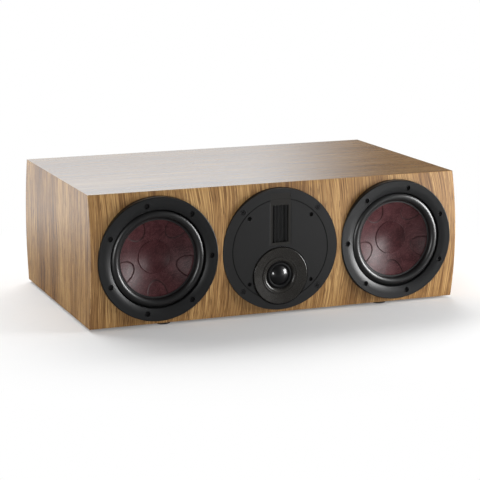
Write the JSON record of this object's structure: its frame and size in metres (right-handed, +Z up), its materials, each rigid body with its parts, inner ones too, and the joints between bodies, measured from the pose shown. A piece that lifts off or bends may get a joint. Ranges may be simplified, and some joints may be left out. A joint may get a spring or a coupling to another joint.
{
  "type": "center channel speaker",
  "caption": "Wood-veneered center channel speaker with bowed front and rear faces, woofers either side of a ribbon and dome tweeter plate, and reflex ports with binding posts behind.",
  "frame": {"origin": "centre of the bounding box, on the plane of the feet", "axes": "+X towards the viewer's right when facing the drivers, +Y from front to rear, +Z up"},
  "size_m": [0.594, 0.379, 0.204],
  "materials": {
    "bare_board": "matte",
    "black_plastic": "satin",
    "black_rubber": "satin",
    "board": "satin",
    "capacitor_film": "satin",
    "cast_frame": "satin",
    "coil_metal": "satin",
    "copper_wire": "satin",
    "cup_plastic": "matte",
    "dark_steel": "satin",
    "dome_fabric": "gloss",
    "ferrite": "matte",
    "fibre_cone": "satin",
    "film": "satin",
    "foam": "matte",
    "gold_plate": "polished",
    "plate_plastic": "matte",
    "plated_steel": "satin",
    "red_plastic": "satin",
    "resistor_body": "matte",
    "screw_black": "satin",
    "spider_cloth": "matte",
    "trim_plastic": "satin",
    "wadding": "matte",
    "walnut_veneer": "satin"
  },
  "bodies": {
    "cabinet": {"bottom_panel": "walnut_veneer", "braces": "bare_board", "crossover_board": "board", "crossover_capacitors": "capacitor_film", "crossover_coils": "copper_wire", "crossover_resistors": "resistor_body", "crossover_spacers": "cup_plastic", "driver_gaskets": "foam", "driver_screws": "screw_black", "feet": "black_rubber", "front_baffle": "walnut_veneer", "left_side_panel": "walnut_veneer", "left_woofer_frame": "cast_frame", "left_woofer_magnet": "ferrite", "left_woofer_spider": "spider_cloth", "left_woofer_surround": "black_rubber", "left_woofer_top_plate": "plated_steel", "left_woofer_trim_ring": "trim_plastic", "left_woofer_yoke": "plated_steel", "negative_post": "gold_plate", "positive_post": "gold_plate", "post_nuts": "gold_plate", "rear_panel": "walnut_veneer", "reflex_ports": "cup_plastic", "ribbon_diaphragm": "film", "ribbon_grid": "dark_steel", "ribbon_magnets": "ferrite", "ribbon_yoke": "dark_steel", "right_side_panel": "walnut_veneer", "right_woofer_frame": "cast_frame", "right_woofer_magnet": "ferrite", "right_woofer_spider": "spider_cloth", "right_woofer_surround": "black_rubber", "right_woofer_top_plate": "plated_steel", "right_woofer_trim_ring": "trim_plastic", "right_woofer_yoke": "plated_steel", "terminal_cup": "cup_plastic", "terminal_screws": "screw_black", "top_panel": "walnut_veneer", "tweeter_magnet": "ferrite", "tweeter_plate": "plate_plastic", "tweeter_screws": "screw_black", "tweeter_top_plate": "plated_steel", "tweeter_waveguide": "plate_plastic", "tweeter_yoke": "plated_steel", "wadding": "wadding"},
    "left_cone": {"left_woofer_cone": "fibre_cone", "left_woofer_dust_cap": "fibre_cone", "left_woofer_voice_coil": "coil_metal"},
    "right_cone": {"right_woofer_cone": "fibre_cone", "right_woofer_dust_cap": "fibre_cone", "right_woofer_voice_coil": "coil_metal"},
    "dome": {"tweeter_dome": "dome_fabric", "tweeter_voice_coil": "coil_metal"},
    "positive_clamp": {"positive_washer": "gold_plate"},
    "positive_cap": {"positive_knob": "red_plastic"},
    "negative_clamp": {"negative_washer": "gold_plate"},
    "negative_cap": {"negative_knob": "black_plastic"}
  },
  "joints": [
    {"name": "left_cone_travel", "type": "slide", "parent": "cabinet", "child": "left_cone", "axis": [0, -1, 0], "range_m": [-0.005, 0.005], "stiffness_N_per_m": 1200, "deforming": ["left_woofer_surround", "left_woofer_spider"]},
    {"name": "right_cone_travel", "type": "slide", "parent": "cabinet", "child": "right_cone", "axis": [0, -1, 0], "range_m": [-0.005, 0.005], "stiffness_N_per_m": 1200, "deforming": ["right_woofer_surround", "right_woofer_spider"]},
    {"name": "dome_travel", "type": "slide", "parent": "cabinet", "child": "dome", "axis": [0, -1, 0], "range_m": [-0.0005, 0.0005], "stiffness_N_per_m": 1500, "deforming": ["tweeter_dome"]},
    {"name": "positive_clamp_slide", "type": "slide", "parent": "cabinet", "child": "positive_clamp", "axis": [0, 1, 0], "range_m": [0, 0.005]},
    {"name": "positive_knob_turn", "type": "hinge", "parent": "positive_clamp", "child": "positive_cap", "pos_m": [0.019, 0.1715, 0.104], "axis": [0, 1, 0], "range_deg": [0, 1800]},
    {"name": "negative_clamp_slide", "type": "slide", "parent": "cabinet", "child": "negative_clamp", "axis": [0, 1, 0], "range_m": [0, 0.005]},
    {"name": "negative_knob_turn", "type": "hinge", "parent": "negative_clamp", "child": "negative_cap", "pos_m": [-0.019, 0.1715, 0.104], "axis": [0, 1, 0], "range_deg": [0, 1800]}
  ],
  "couplings": [
    {"joint": "positive_knob_turn", "follows": "positive_clamp_slide", "rad_per_m": 6283.2},
    {"joint": "negative_knob_turn", "follows": "negative_clamp_slide", "rad_per_m": 6283.2}
  ]
}
